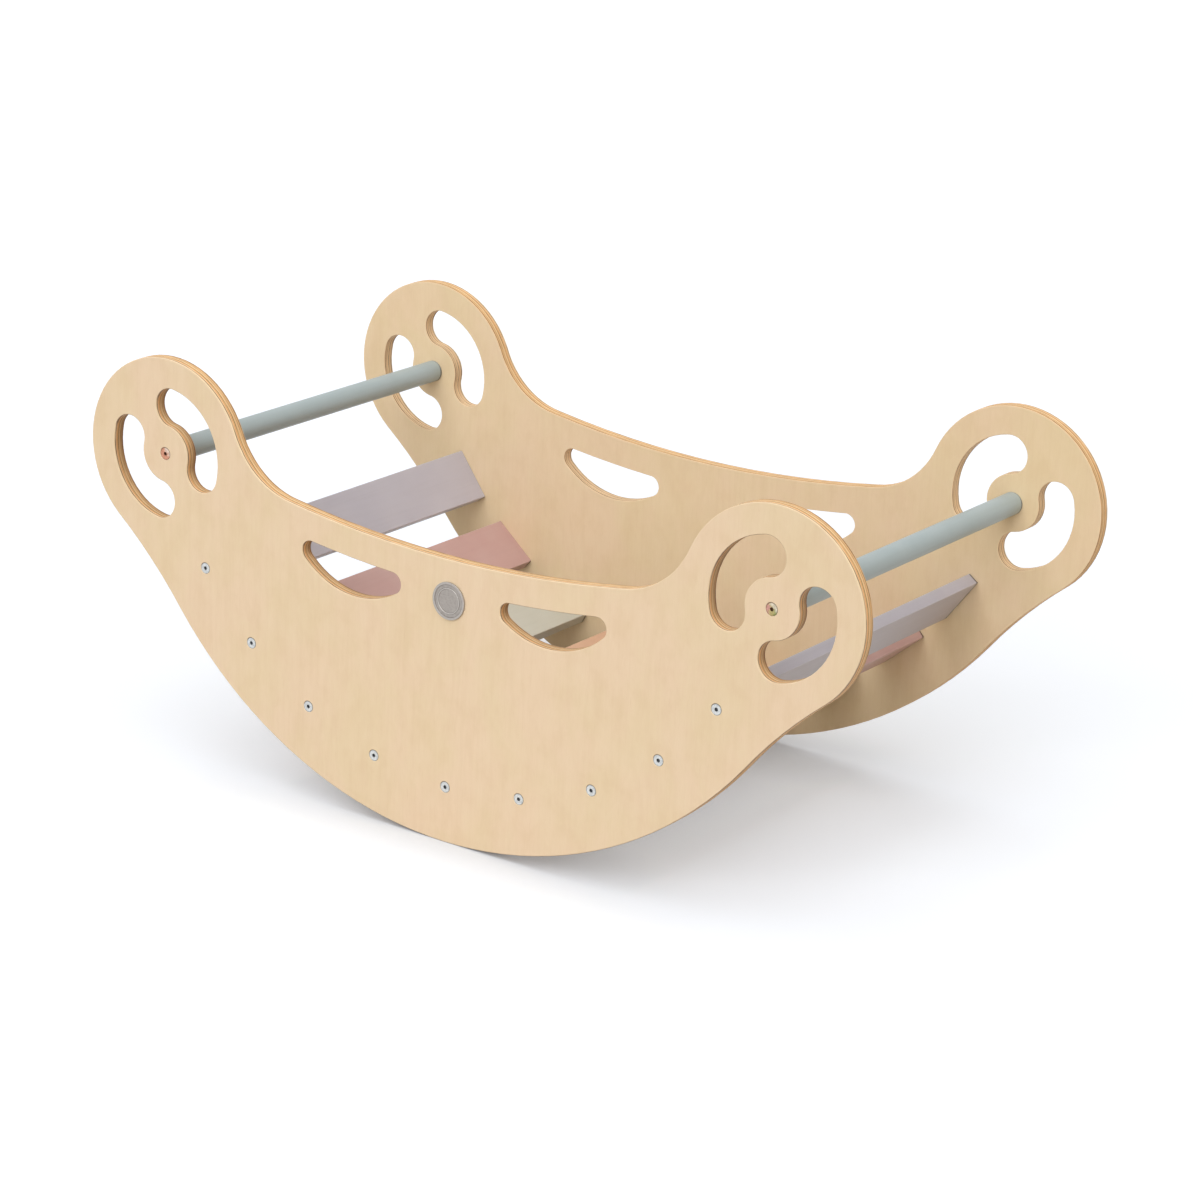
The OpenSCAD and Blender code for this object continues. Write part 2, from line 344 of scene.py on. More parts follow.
# drop below the rocking edge's centre, angle from slat to slat, and the nearest slat's number,
# which is 0 for the middle one
def findSlat(tree, spot):
    drop = minus(tree, layout["rockerHeight"], spot[2])
    angle = sums(tree, "ARCTAN2", spot[0], drop)
    step = math.radians(layout["slatStep"])
    return drop, step, sums(tree, "ROUND", sums(tree, "DIVIDE", angle, step))


# distance in metres from the axis of the nearest slat bolt and bar bolt
def makeBoltAxis():
    group, takes, gives = newGroup("boltAxis", [("Place", "vector")],
                                   [("Slat Bolt", "value"), ("Bar Bolt", "value")])
    spot = axes(group, takes["Place"])
    drop, step, number = findSlat(group, spot)
    last = (layout["slats"] - 1) / 2
    number = sums(group, "MAXIMUM", sums(group, "MINIMUM", number, last), -last)
    turn = times(group, number, step)
    offX = minus(group, spot[0], times(group, sums(group, "SINE", turn), layout["boltRing"]))
    offZ = minus(group, drop, times(group, sums(group, "COSINE", turn), layout["boltRing"]))
    barX = minus(group, size(group, spot[0]), layout["hub"][0])
    barZ = minus(group, spot[2], layout["hub"][1])
    plug(group, gives["Slat Bolt"], length(group, join(group, offX, offZ)))
    plug(group, gives["Bar Bolt"], length(group, join(group, barX, barZ)))
    return group


fibres = makeFibres(fibreValues)
handling = makeHandling(handlingValues)
boltAxis = makeBoltAxis()


birchValues = {
    "face": tint(234, 215, 187), "facePink": tint(233, 211, 184),
    "faceYellow": tint(230, 211, 179), "faceDark": tint(213, 186, 148),
    "fleck": tint(186, 146, 104),
    "innerWarmShade": (1.0, 0.985, 0.925, 1.0),   # painted warm shade: the inner faces' veneer is tinted more golden, as by light bounced between the sides
    "sheetsPerMetre": 80.0, "sheetShift": 0.37,   # each face of each panel has its own sheet
    "figureStretch": (1, 1, 0.7), "drift": (13.0, 4.0, 0.6, 0.15), "driftSpan": (0.34, 0.66),
    "blotch": (42.0, 3.0, 0.6, 0.15),
    "ringStretch": (1, 1, 0.22), "ring": (5.0, 2.0, 0.45, 0.3), "ringCount": 130.0,
    "fibre": {"Width": 0.0016, "Length": 0.03, "Seed": 3.0},
    # span, and the most that each changes the colour
    "darkBlotches": ((0.46, 0.7), 0.16), "paleBlotches": ((0.5, 0.28), 0.4),
    "rings": ((0.1, 1.0), 0.06), "broadGrain": ((0.42, 0.72), 0.1),
    "fineGrain": ((0.4, 0.75), 0.13), "fleckShare": 0.14,
    "knotStretch": (1, 1, 2.0), "knotScale": 11.0, "knotSpan": (0.0, 0.06),
    "knotPick": (0.87, 0.94), "knotShare": 0.18,

    # plies from the outer face inwards: start as a share of the thickness, colour,
    # and 1 where the grain runs across
    "plies": [(0.0, tint(255, 234, 196), 0), (0.15, tint(254, 214, 166), 1),
              (0.30, tint(238, 186, 124), 0), (0.45, tint(252, 220, 168), 1),
              (0.58, tint(248, 208, 152), 0), (0.69, tint(248, 206, 150), 1),
              (0.79, tint(236, 186, 128), 0), (0.89, tint(240, 202, 154), 0)],
    # the glue line at the start of each ply but the first: strength, half width as a share
    "glueLines": [(0.95, 0.062), (0.35, 0.028), (0.9, 0.05), (0.35, 0.028), (0.75, 0.04),
                  (0.4, 0.03), (1.0, 0.055)],
    "glue": tint(84, 46, 20), "glueShare": 0.95,
    "glueCore": 0.4,    # share of a glue line's width that has its full strength
    "breaks": (55.0, 3.0), "breakSpan": (0.34, 0.6), "breakLeast": 0.25, "breakSquash": 0.4,
    "swayNoise": (30.0, 3.0), "sway": 0.16, "swayGain": 2.0,   # the plies aren't quite level
    "streakSquash": 30.0, "streak": (60.0, 4.0, 0.65), "endPly": tint(196, 136, 82),
    "endGrain": ((0.3, 1.0), 0.2), "streaks": ((0.45, 0.8), 0.3),
    "wallSpan": (0.3, 0.95),    # how far a surface turns from the face before it shows plies
    "holeRadius": 0.0085, "holeFade": 0.002,   # round the bolts the arris is too small for plies

    # where the cut-outs are: reach from a bar, half the slots' spread, heights, top edge's curve
    "cutOutReach": 0.08, "slotEnd": 0.27, "slotLowest": 0.18,
    "topMiddle": 0.314, "topCurve": 0.367, "topMargin": 0.015,
    # painted shade colour, for the cut-out walls and for edges that face down
    "paintedShade": tint(96, 54, 24), "paintedShadeSpan": (0.05, 1.0), "paintedShadeShares": (0.03, 0.58),
    "paintedShadeUpward": 0.35,    # what is left of it on walls that face up
    # painted light: the back side's cut-out walls are made lighter
    "paintedLightPly": tint(255, 230, 192), "paintedLightShare": 0.5,
    "underShade": 0.65, "underFacing": (-0.1, -0.5),   # painted shade on the outer rim of edges that face down
    "underDepth": (0.1, 0.3),

    "roughness": 0.5, "wallRough": 0.12, "smudgeSize": 0.06, "smudgeRough": 0.08,
    "fleckHeight": -0.5, "fineHeight": 0.4, "streakHeight": 0.8, "glueDepth": 1.2,
    "bump": (0.2, 0.0004),
}


# figure of the veneer: soft drifts and blotches, faint rings, fibres, flecks and small knots
def figureVeneer(tree, where, values):
    sheet = sums(tree, "ROUND", times(tree, where[1], values["sheetsPerMetre"]))
    spread = join(tree, where[0], times(tree, sheet, values["sheetShift"]), where[2])
    figure = stretch(tree, spread, values["figureStretch"])
    drift = ease(tree, cloud(tree, figure, *values["drift"]), values["driftSpan"])
    veneer = mixColour(tree, drift, values["faceYellow"], values["facePink"])
    blotch = cloud(tree, figure, *values["blotch"])
    veneer = mark(tree, blotch, values["darkBlotches"], veneer, values["faceDark"])
    veneer = mark(tree, blotch, values["paleBlotches"], veneer, values["face"])
    ringField = cloud(tree, stretch(tree, spread, values["ringStretch"]), *values["ring"])
    rings = sums(tree, "SINE", times(tree, ringField, values["ringCount"]))
    veneer = mark(tree, rings, values["rings"], veneer, values["faceDark"])
    lines = useGroup(tree, fibres, {"Place": spread, **values["fibre"]})
    veneer = mark(tree, lines["Broad"], values["broadGrain"], veneer, values["faceDark"])
    veneer = mark(tree, lines["Fine"], values["fineGrain"], veneer, values["faceDark"])
    flecks = times(tree, lines["Fleck"], values["fleckShare"])
    veneer = mixColour(tree, flecks, veneer, values["fleck"])
    knots = put(tree, "TexVoronoi", {"Vector": stretch(tree, spread, values["knotStretch"]),
                                     "Scale": values["knotScale"], "Randomness": 1.0}).outputs
    pick = put(tree, "SeparateColor", {0: knots["Color"]}).outputs[1]
    knot = times(tree, ease(tree, knots["Distance"], values["knotSpan"], 1.0, 0.0),
                 ease(tree, pick, values["knotPick"]))
    veneer = mixColour(tree, times(tree, knot, values["knotShare"]), veneer, values["fleck"])
    middle = layout["outerFace"] - layout["thickness"] / 2
    inner = sums(tree, "LESS_THAN", size(tree, where[1]), middle)
    # the inner faces take the painted warm shade
    return mixColour(tree, inner, veneer, values["innerWarmShade"], "MULTIPLY"), lines


# the cut edge: plies crossing each other, with broken glue lines between
def layPlies(tree, spot, where, normal, depth, values):
    noise = cloud(tree, spot, *values["swayNoise"])
    sway = sums(tree, "MULTIPLY_ADD", noise, values["sway"], -values["sway"] / 2)
    sway = times(tree, sway, times(tree, depth, minus(tree, 1.0, depth)))   # none at the faces
    level = sums(tree, "MULTIPLY_ADD", sway, values["swayGain"], depth)
    plies = values["plies"]
    ply = ramp(tree, level, [(start, colour) for start, colour, crossed in plies])
    crossed = ramp(tree, level, [(start, float(crossed)) for start, colour, crossed in plies])
    strip = join(tree, where[0], times(tree, where[1], values["streakSquash"]), where[2])
    streak = cloud(tree, strip, *values["streak"])
    endGrain = mixValue(tree, crossed, size(tree, normal[2]), size(tree, normal[0]))
    ply = mark(tree, endGrain, values["endGrain"], ply, values["endPly"])
    ply = mark(tree, streak, values["streaks"], ply, values["endPly"])
    stops = [(0.0, 0.0)]
    for (start, colour, crossed), (strength, half) in zip(plies[1:], values["glueLines"]):
        core = half * values["glueCore"]
        stops += [(start - half, 0.0), (start - core, strength),
                  (start + core, strength), (start + half, 0.0)]
    glue = ramp(tree, level, stops, "LINEAR")
    patches = join(tree, where[0], times(tree, depth, values["breakSquash"]), where[2])
    whole = ease(tree, cloud(tree, patches, *values["breaks"]), values["breakSpan"],
                 values["breakLeast"], 1.0)
    return ply, times(tree, glue, whole), streak


# painted shade on the front side's cut-out walls: darker with depth and less where they face up;
# painted light on the back side's cut-out walls, which are made lighter
def paintCutOutLightAndShade(tree, ply, where, normal, depth, fromBar, values):
    inRoundEnd = sums(tree, "LESS_THAN", fromBar, values["cutOutReach"])
    topEdge = sums(tree, "MULTIPLY_ADD", times(tree, where[0], where[0]), values["topCurve"],
                   values["topMiddle"])
    inSlot = sums(tree, "LESS_THAN", where[2], minus(tree, topEdge, values["topMargin"]))
    inSlot = times(tree, inSlot, sums(tree, "GREATER_THAN", where[2], values["slotLowest"]))
    inSlot = times(tree, inSlot, sums(tree, "LESS_THAN", size(tree, where[0]), values["slotEnd"]))
    # painted shade: darker deeper into the cut-out, less on walls that face up
    paintedShade = times(tree, ease(tree, depth, values["paintedShadeSpan"], *values["paintedShadeShares"]),
                   ease(tree, normal[2], (0.0, 1.0), 1.0, values["paintedShadeUpward"]))
    shadedPly = mixColour(tree, paintedShade, ply, values["paintedShade"])
    # painted light on the back side's cut-out walls
    litCutOut = mixColour(tree, values["paintedLightShare"], ply, values["paintedLightPly"])
    onBack = sums(tree, "GREATER_THAN", where[1], 0.0)
    toned = mixColour(tree, onBack, shadedPly, litCutOut)
    return mixColour(tree, sums(tree, "MAXIMUM", inRoundEnd, inSlot), ply, toned)


def makeBirch(values):
    material, tree, shader, place = newMaterial("birchPlywood")
    spot = place["Object"]
    where, normal = axes(tree, spot), axes(tree, place["Normal"])
    fromOuterFace = minus(tree, layout["outerFace"], size(tree, where[1]))
    depth = sums(tree, "DIVIDE", fromOuterFace, layout["thickness"])
    axis = useGroup(tree, boltAxis, {"Place": spot})
    nearest = sums(tree, "MINIMUM", axis["Slat Bolt"], axis["Bar Bolt"])
    holeSpan = (values["holeRadius"], values["holeRadius"] + values["holeFade"])
    wall = ease(tree, size(tree, normal[1]), values["wallSpan"], 1.0, 0.0)
    wall = times(tree, wall, minus(tree, 1.0, ease(tree, nearest, holeSpan, 1.0, 0.0)))

    veneer, lines = figureVeneer(tree, where, values)
    ply, glue, streak = layPlies(tree, spot, where, normal, depth, values)
    ply = paintCutOutLightAndShade(tree, ply, where, normal, depth, axis["Bar Bolt"], values)
    ply = mixColour(tree, times(tree, glue, values["glueShare"]), ply, values["glue"])
    colour = mixColour(tree, wall, veneer, ply)
    # painted shade on edges that face down, near the outer face
    paintedUnderShade = times(tree, ease(tree, normal[2], values["underFacing"], 0.0, values["underShade"]),
                  ease(tree, depth, values["underDepth"], 1.0, 0.0))
    colour = mixColour(tree, paintedUnderShade, colour, values["paintedShade"])

    touch = useGroup(tree, handling, {"Place": spot, "Size": values["smudgeSize"]})
    rough = sums(tree, "MULTIPLY_ADD", touch["Smudge"], values["smudgeRough"],
                 values["roughness"] - values["smudgeRough"] / 2)
    rough = sums(tree, "MULTIPLY_ADD", wall, values["wallRough"], rough)
    faceHeight = sums(tree, "MULTIPLY_ADD", lines["Fleck"], values["fleckHeight"],
                      times(tree, lines["Fine"], values["fineHeight"]))
    wallHeight = minus(tree, times(tree, streak, values["streakHeight"]),
                       times(tree, glue, values["glueDepth"]))
    height = mixValue(tree, wall, faceHeight, wallHeight)
    dress(tree, shader, colour, rough, height, values["bump"])
    return material


paintValues = {
    "lilac": tint(186, 182, 192), "pink": tint(192, 156, 152), "sage": tint(192, 192, 181),
    "peach": tint(208, 168, 140), "mist": tint(164, 178, 181),
    "roughness": 0.42, "bump": (0.25, 0.0003),
    "darker": (0.9, 0.885, 0.87, 1), "lighter": (1, 0.97, 0.93, 1), "lighterShare": 0.18,
    "fibre": {"Width": 0.0015, "Length": 0.05, "Seed": 1.0}, "grain": ((0.42, 0.72), 0.3),
    "fleckShare": 0.25, "smudgeSize": 0.045, "smudgeShare": 0.25, "arrisShare": 0.6,
    "arrisSpan": (0.1, 0.45), "grainShift": 1.7,   # so that no two slats have the same grain
    "smudgeRough": 0.1, "speckRough": 0.1,
    "peel": (900.0, 2.0, 0.5), "peelHeight": 0.35, "fineHeight": 0.35, "fleckHeight": -0.6,
    "speckHeight": 0.3,
    # a thin dark line where a slat or bar meets a side: a dark joint with painted shade, kept off
    # faces that face up; in metres from the middle
    "joint": tint(46, 34, 28), "jointShadeShare": 0.8,
    "slatJoint": (0.2264, 0.2276), "slatTurn": (-0.7, -0.4),   # on all but a slat's upper face
    "barJoint": (0.2268, 0.2278), "barTurn": (0.9, 0.0), "barShares": (0.3, 0.9),
}


# turns a place and a normal into a slat's own: X across its width, Y its thickness, Z along it
def makeSlatFrame(values):
    group, takes, gives = newGroup(
        "slatFrame", [("Place", "vector"), ("Normal", "vector")],
        [("Own Place", "vector"), ("Arris", "value"), ("Joint Shade", "value")])
    spot, normal = axes(group, takes["Place"]), axes(group, takes["Normal"])
    drop, step, number = findSlat(group, spot)
    angle = times(group, number, step)
    sine, cosine = sums(group, "SINE", angle), sums(group, "COSINE", angle)
    across = minus(group, times(group, spot[0], cosine), times(group, drop, sine))
    outward = sums(group, "ADD", times(group, spot[0], sine), times(group, drop, cosine))
    along = sums(group, "MULTIPLY_ADD", number, values["grainShift"], spot[1])
    plug(group, gives["Own Place"], join(group, across, outward, along))
    # how far the surface turns to the slat's lower face, and to the edge of its width
    flat = minus(group, times(group, normal[0], sine), times(group, normal[2], cosine))
    edge = sums(group, "ADD", times(group, normal[0], cosine), times(group, normal[2], sine))
    both = times(group, size(group, flat), size(group, edge))
    plug(group, gives["Arris"], ease(group, both, values["arrisSpan"]))
    # dark joint with painted shade at a slat's ends, left off its upper face
    atEnd = ease(group, size(group, spot[1]), values["slatJoint"])
    plug(group, gives["Joint Shade"], times(group, atEnd, ease(group, flat, values["slatTurn"])))
    return group


# satin paint on sanded beech: the grain still shows a little
def makePaintFilm(values):
    group, takes, gives = newGroup(
        "paintFilm",
        [("Place", "vector"), ("Arris", "value"), ("Colour", "colour"), ("Rough", "value")],
        [("Colour", "colour"), ("Roughness", "value"), ("Height", "value")])
    lines = useGroup(group, fibres, {"Place": takes["Place"], **values["fibre"]})
    touch = useGroup(group, handling, {"Place": takes["Place"], "Size": values["smudgeSize"]})
    darker = mixColour(group, 1.0, takes["Colour"], values["darker"], "MULTIPLY")
    lighter = mixColour(group, values["lighterShare"], takes["Colour"], values["lighter"])
    colour = mark(group, lines["Broad"], values["grain"], takes["Colour"], darker)
    for pattern, share, tone in ((touch["Smudge"], "smudgeShare", lighter),
                                 (lines["Fleck"], "fleckShare", darker),
                                 (takes["Arris"], "arrisShare", lighter)):
        colour = mixColour(group, times(group, pattern, values[share]), colour, tone)
    plug(group, gives["Colour"], colour)
    rough = sums(group, "MULTIPLY_ADD", touch["Smudge"], values["smudgeRough"],
                 minus(group, takes["Rough"], values["smudgeRough"] / 2))
    plug(group, gives["Roughness"],
         sums(group, "MULTIPLY_ADD", touch["Speck"], values["speckRough"], rough))
    peel = cloud(group, takes["Place"], *values["peel"])
    height = times(group, peel, values["peelHeight"])
    for pattern, gain in ((lines["Fine"], "fineHeight"), (lines["Fleck"], "fleckHeight"),
                          (touch["Speck"], "speckHeight")):
        height = sums(group, "MULTIPLY_ADD", pattern, values[gain], height)
    plug(group, gives["Height"], height)
    return group


slatFrame = makeSlatFrame(paintValues)
paintFilm = makePaintFilm(paintValues)


def makePaint(values, name, onSlat=True):
    material, tree, shader, place = newMaterial("paint" + name.capitalize())
    if onSlat:
        own = useGroup(tree, slatFrame, {"Place": place["Object"], "Normal": place["Normal"]})
        spot, arris, joint = own["Own Place"], own["Arris"], own["Joint Shade"]
    else:   # the bars, and the middle slat, which lies level
        spot, arris = layAlongY(tree, place["Object"]), 0.0
        # dark joint with painted shade at a bar's ends, strongest underneath
        atEnd = ease(tree, size(tree, axes(tree, place["Object"])[1]), values["barJoint"])
        upward = axes(tree, place["Normal"])[2]
        joint = times(tree, atEnd, ease(tree, upward, values["barTurn"], *values["barShares"]))
    film = useGroup(tree, paintFilm, {"Place": spot, "Arris": arris, "Colour": values[name],
                                      "Rough": values["roughness"]})
    joint = times(tree, joint, values["jointShadeShare"])
    colour = mixColour(tree, joint, film["Colour"], values["joint"])
    dress(tree, shader, colour, film["Roughness"], film["Height"], values["bump"])
    return material


skinValues = {
    "plating": (420.0, 3.0, 0.6), "platingSpan": (0.35, 0.75),
    "scratch": (1.0, 3.0, 0.7), "scratchSpan": (0.5, 0.8),
    "scratchRough": 0.2, "platingRough": 0.12, "platingHeight": 0.4,
}


# fine scratches and cloudy plating
def makeMetalSkin(values):
    group, takes, gives = newGroup(
        "metalSkin", [("Place", "vector"), ("Colour", "colour"), ("Dark", "colour"),
                      ("Brush", "vector"), ("Rough", "value"), ("Wear", "value")],
        [("Colour", "colour"), ("Roughness", "value"), ("Height", "value")])
    plating = cloud(group, takes["Place"], *values["plating"])
    lane = put(group, "VectorMath", {0: takes["Place"], 1: takes["Brush"]}, operation="MULTIPLY")
    scratch = cloud(group, lane.outputs[0], *values["scratch"])
    colour = takes["Colour"]
    for pattern, span in ((plating, "platingSpan"), (scratch, "scratchSpan")):
        worn = times(group, ease(group, pattern, values[span]), takes["Wear"])
        colour = mixColour(group, worn, colour, takes["Dark"])
    plug(group, gives["Colour"], colour)
    rough = sums(group, "MULTIPLY_ADD", scratch, values["scratchRough"],
                 minus(group, takes["Rough"], values["scratchRough"] / 2))
    plug(group, gives["Roughness"],
         sums(group, "MULTIPLY_ADD", plating, values["platingRough"], rough))
    plug(group, gives["Height"],
         sums(group, "ADD", scratch, times(group, plating, values["platingHeight"])))
    return group


metalSkin = makeMetalSkin(skinValues)


boltValues = {
    # the socket colours are painted shade inside the hex sockets
    "zinc": tint(216, 218, 216), "zincDark": tint(134, 142, 148), "socket": tint(72, 76, 82),
    "copper": tint(216, 156, 128), "copperDark": tint(150, 92, 70),
    "gold": tint(196, 178, 122), "goldGreen": tint(140, 148, 92), "goldPink": tint(206, 152, 142),
    "goldDark": tint(128, 112, 74), "paintedGlint": tint(240, 228, 210), "socketShadeBrown": tint(84, 54, 36),
    "headZone": 0.005,    # the head is this near to the outer face, in metres
    "socketRadius": 0.0024, "socketEdge": 0.0002, "socketShare": 0.9,
    "socketDepth": (0.0008, 0.0002),   # below the head's face, where it is dark and where not
    "rimDarkWidth": 0.0008, "rimDarkShare": 0.6,
    "skin": {"Brush": (900, 900, 900), "Rough": 0.32, "Wear": 0.5},
    "metallic": 0.8, "socketMetallic": -0.6,
    # colours of the right bar's bolts: metres from their axis
    "film": (320.0, 2.0, 0.6, 0.5), "filmSway": 0.012,
    "pinkSpan": (-0.005, -0.001), "greenSpan": (0.0, 0.004), "paintedGlints": ((0.001, 0.006), 0.8),
    "bump": (0.2, 0.0001),
}


# plated head of a bolt, with painted shade in its socket and a darker ring round its edge
def makeBoltHead(values):
    group, takes, gives = newGroup(
        "boltHead", [("Place", "vector"), ("Colour", "colour"), ("Dark", "colour"),
                     ("Socket Shade", "colour"), ("Head Radius", "value")],
        [("Colour", "colour"), ("Roughness", "value"), ("Metallic", "value"), ("Height", "value")])
    axis = useGroup(group, boltAxis, {"Place": takes["Place"]})
    near = sums(group, "MINIMUM", axis["Slat Bolt"], axis["Bar Bolt"])
    side = size(group, axes(group, takes["Place"])[1])
    outer = sums(group, "GREATER_THAN", side, layout["outerFace"] - values["headZone"])
    deepest, highest = values["socketDepth"]
    deep = ease(group, side, (layout["headFace"] - deepest, layout["headFace"] - highest), 1.0, 0.0)
    socketSpan = (values["socketRadius"], values["socketRadius"] + values["socketEdge"])
    # painted shade in the hex socket: darker and less metallic
    socket = times(group, times(group, ease(group, near, socketSpan, 1.0, 0.0), deep), outer)
    # darker towards the edge of the head
    rimDarkStart = minus(group, takes["Head Radius"], values["rimDarkWidth"])
    rimDark = ease(group, near, (rimDarkStart, takes["Head Radius"]), 0.0, values["rimDarkShare"])
    dark = sums(group, "MAXIMUM", times(group, socket, values["socketShare"]),
                times(group, rimDark, outer))
    skin = useGroup(group, metalSkin, {"Place": takes["Place"], "Colour": takes["Colour"],
                                       "Dark": takes["Dark"], **values["skin"]})
    plug(group, gives["Colour"], mixColour(group, dark, skin["Colour"], takes["Socket Shade"]))
    plug(group, gives["Roughness"], skin["Roughness"])
    plug(group, gives["Metallic"],
         sums(group, "MULTIPLY_ADD", socket, values["socketMetallic"], values["metallic"]))
    plug(group, gives["Height"], skin["Height"])
    return group


boltHead = makeBoltHead(boltValues)


def plateBolt(tree, shader, values, feeds):
    head = useGroup(tree, boltHead, feeds)
    plug(tree, shader.inputs["Metallic"], head["Metallic"])
    dress(tree, shader, head["Colour"], head["Roughness"], head["Height"], values["bump"])


def makeZinc(values):
    material, tree, shader, place = newMaterial("zincSteel")
    plateBolt(tree, shader, values, {
        "Place": place["Object"], "Colour": values["zinc"], "Dark": values["zincDark"],
        "Socket Shade": values["socket"], "Head Radius": layout["slatHead"]})
    return material


# passivated zinc: coppery on the left bar's bolts, gold with green and pink on the right bar's,
# with a painted highlight towards the upper right of each head
def makeYellowZinc(values):
    material, tree, shader, place = newMaterial("yellowZincSteel")
    where = axes(tree, place["Object"])
    rightBar = sums(tree, "GREATER_THAN", where[0], 0.0)
    hubX, hubZ = layout["hub"]
    offX = minus(tree, where[0], mixValue(tree, rightBar, -hubX, hubX))
    offZ = minus(tree, where[2], hubZ)
    noise = cloud(tree, place["Object"], *values["film"])
    film = sums(tree, "MULTIPLY_ADD", noise, values["filmSway"], -values["filmSway"] / 2)
    sweep = sums(tree, "ADD", offX, film)
    offPink = ease(tree, sweep, values["pinkSpan"])
    gold = mixColour(tree, offPink, values["goldPink"], values["gold"])
    gold = mixColour(tree, ease(tree, sweep, values["greenSpan"]), gold, values["goldGreen"])
    colour = mixColour(tree, rightBar, values["copper"], gold)
    # painted highlight, strongest towards the upper right of each head
    slant = sums(tree, "ADD", sums(tree, "ADD", offX, offZ), film)
    plateBolt(tree, shader, values, {
        "Place": place["Object"],
        "Colour": mark(tree, slant, values["paintedGlints"], colour, values["paintedGlint"]),
        "Dark": mixColour(tree, rightBar, values["copperDark"], values["goldDark"]),
        "Socket Shade": values["socketShadeBrown"], "Head Radius": layout["barHead"]})
    return material


badgeValues = {
    "colour": tint(168, 162, 157), "bright": tint(206, 203, 199), "dark": tint(104, 99, 95),
    "edge": 0.0001, "rimBright": 0.45, "brightShare": 0.6, "patinaShare": 0.6,
    # dark patina beside the raised rings: its middle inside the rim and its half width there,
    # then where it is full and where it ends beside the bead
    "rimPatina": (0.0004, 0.0006), "beadPatina": (0.0002, 0.0009),
    "skin": {"Brush": (60, 400, 1200), "Rough": 0.36, "Wear": 0.26},
    "polish": -0.08, "metallic": 0.6, "bump": (0.08, 0.0001),
}


def makeBadgeSteel(values):
    material, tree, shader, place = newMaterial("badgeSteel")
    where = axes(tree, place["Object"])
    fromMiddle = join(tree, where[0], minus(tree, where[2], layout["badgeHeight"]))
    radius = length(tree, fromMiddle)
    edge, half = values["edge"], layout["badgeBeadHalf"]
    rimStart = layout["badgeRadius"] - layout["badgeRim"]
    onRim = ease(tree, radius, (rimStart - edge, rimStart + edge))
    offBead = size(tree, minus(tree, radius, layout["badgeBead"]))
    onBead = ease(tree, offBead, (half, half + edge), 1.0, 0.0)
    # the raised rim and bead are lighter: partly polish from wear, partly a painted highlight
    raised = sums(tree, "MAXIMUM", times(tree, onRim, values["rimBright"]), onBead)

    inside, width = values["rimPatina"]
    offRim = size(tree, minus(tree, radius, rimStart - inside))
    besideRim = ease(tree, offRim, (0.0, width), 1.0, 0.0)
    full, end = values["beadPatina"]
    besideBead = ease(tree, offBead, (half + full, half + end), 1.0, 0.0)
    patina = times(tree, sums(tree, "MAXIMUM", besideRim, besideBead), minus(tree, 1.0, raised))

    skin = useGroup(tree, metalSkin, {"Place": place["Object"], "Colour": values["colour"],
                                      "Dark": values["dark"], **values["skin"]})
    colour = mixColour(tree, times(tree, raised, values["brightShare"]), skin["Colour"],
                       values["bright"])
    colour = mixColour(tree, times(tree, patina, values["patinaShare"]), colour, values["dark"])
    rough = sums(tree, "MULTIPLY_ADD", raised, values["polish"], skin["Roughness"])
    shader.inputs["Metallic"].default_value = values["metallic"]
    dress(tree, shader, colour, rough, skin["Height"], values["bump"])
    return material


beechValues = {
    "colour": tint(214, 176, 132), "dark": tint(172, 128, 86),
    "fibre": {"Width": 0.001, "Length": 0.012, "Seed": 7.0}, "grainSpan": (0.4, 0.7),
    "fineSpan": (0.2, 0.8), "roughness": (0.55, 0.75), "bump": (0.3, 0.0003),
}


def makeBeech(values):
    material, tree, shader, place = newMaterial("beech")
    spot = layAlongY(tree, place["Object"])
    lines = useGroup(tree, fibres, {"Place": spot, **values["fibre"]})
    grain = ease(tree, lines["Broad"], values["grainSpan"])
    colour = mixColour(tree, grain, values["colour"], values["dark"])
    colour = mixColour(tree, lines["Fleck"], colour, values["dark"])
    rough = ease(tree, lines["Fine"], values["fineSpan"], *values["roughness"])
    dress(tree, shader, colour, rough, lines["Fine"], values["bump"])
    return material


padValues = {
    "colour": tint(62, 62, 64), "light": tint(88, 88, 90), "cellScale": 1800.0,
    "cellSpan": (0.0, 0.8), "roughness": (0.75, 0.9), "bump": (0.3, 0.0002),
}


def makePad(values):
    material, tree, shader, place = newMaterial("adhesivePad")
    cells = put(tree, "TexVoronoi", {"Vector": place["Object"], "Scale": values["cellScale"]})
    cell = cells.outputs["Distance"]
    colour = mixColour(tree, cell, values["colour"], values["light"])
    rough = ease(tree, cell, values["cellSpan"], *values["roughness"])
    dress(tree, shader, colour, rough, cell, values["bump"])
    return material


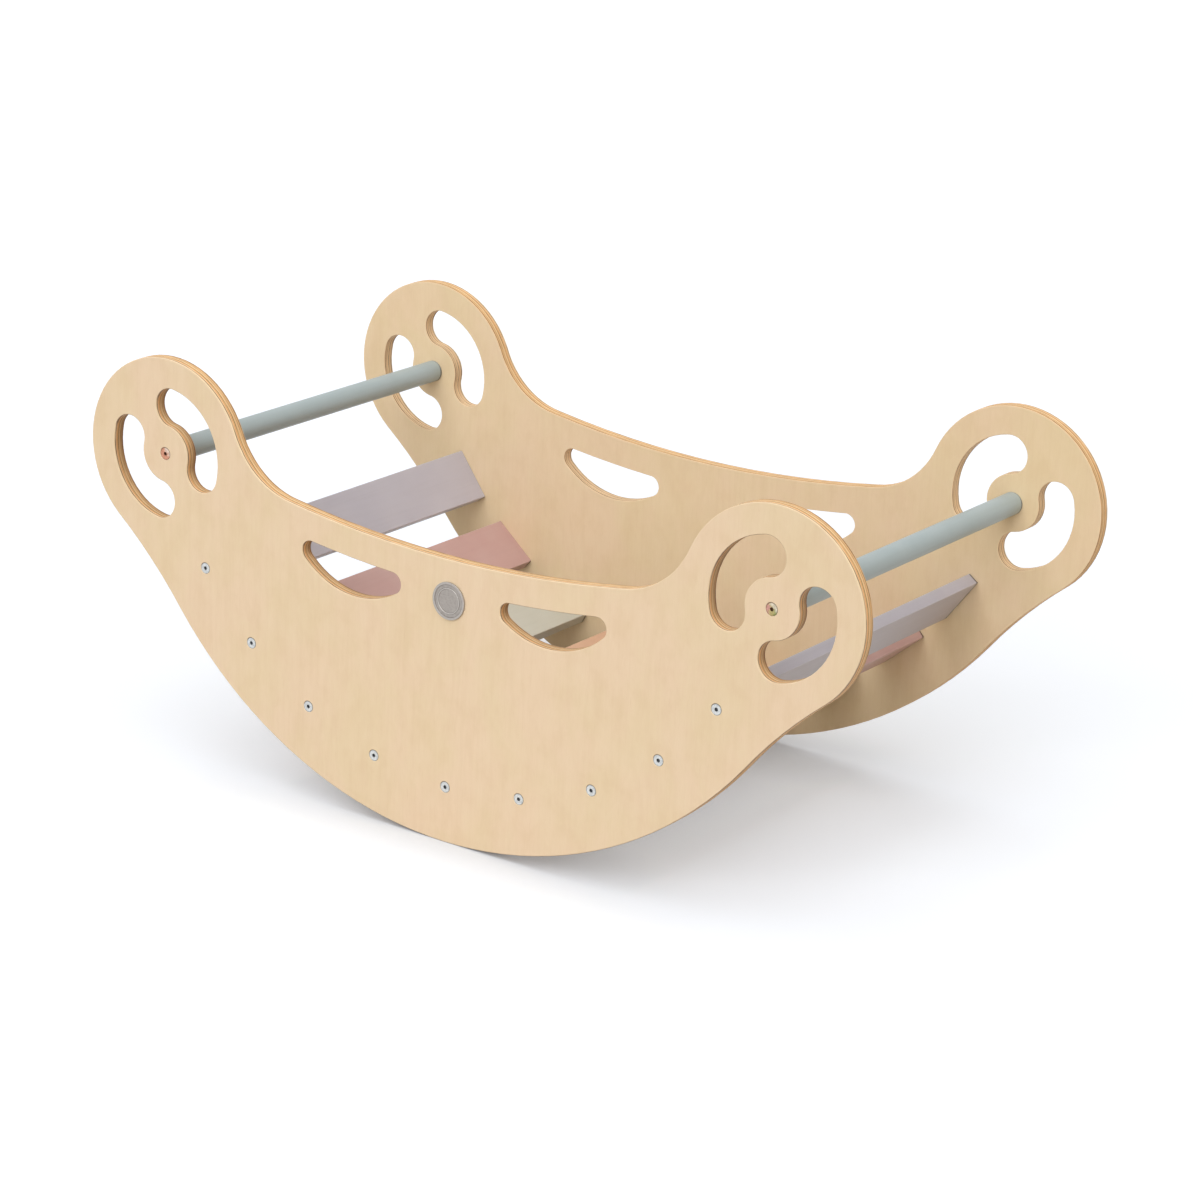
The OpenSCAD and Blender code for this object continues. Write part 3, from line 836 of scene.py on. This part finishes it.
# one for each finish that the record names
finishes = {
    "birch_plywood": makeBirch(birchValues),
    "paint_lilac": makePaint(paintValues, "lilac"),
    "paint_pink": makePaint(paintValues, "pink"),
    "paint_sage": makePaint(paintValues, "sage"),
    "paint_peach": makePaint(paintValues, "peach"),
    "paint_mist": makePaint(paintValues, "mist", onSlat=False),
    "zinc_steel": makeZinc(boltValues),
    "yellow_zinc_steel": makeYellowZinc(boltValues),
    "badge_steel": makeBadgeSteel(badgeValues),
    "beech": makeBeech(beechValues),
    "adhesive_pad": makePad(padValues),
}
print("materials made,", len(finishes))


# metres; the sides' easing has to stay under the 0.9 mm wall of a bolt's pocket
edgeValues = {
    "side_panel": {"weld": 0.00012, "ease": 0.0008, "steps": 3},
    "slat_": {"weld": 0.00005, "ease": 0.0012, "steps": 3},
    "grip_bar": {"weld": 0.00005, "ease": 0.0008, "steps": 2},
    "badge": {"weld": 0.00001, "ease": 0.0002, "steps": 2},
}
# degrees: faces closer than the first become one, and edges sharper than the second are eased,
# which leaves out the 45 degree cones under the bolts' heads
edgeAngles = {"flat": 0.2, "sharp": 50}
keptSharp = ("bolts", "sleeves", "dowels")


def easeEdges(piece, values, angles):
    weld = piece.modifiers.new("weld", "WELD")
    weld.merge_threshold = values["weld"]
    flat = piece.modifiers.new("flat", "DECIMATE")
    flat.decimate_type = "DISSOLVE"
    flat.angle_limit = math.radians(angles["flat"])
    bevel = piece.modifiers.new("ease", "BEVEL")
    bevel.width = values["ease"]
    bevel.segments = values["steps"]
    bevel.limit_method = "ANGLE"
    bevel.angle_limit = math.radians(angles["sharp"])
    bevel.use_clamp_overlap = False
    shade = piece.modifiers.new("shade", "WEIGHTED_NORMAL")
    shade.keep_sharp = False


for name, piece in cadNodes.items():
    for slot in piece.material_slots:
        slot.material = finishes[slot.material.name.split(".")[0]]
    if any(word in name for word in keptSharp):
        continue
    for start, values in edgeValues.items():
        if name.startswith(start):
            easeEdges(piece, values, edgeAngles)
print("finishes and edges on every node")


bpy.context.scene.view_settings.view_transform = "Standard"
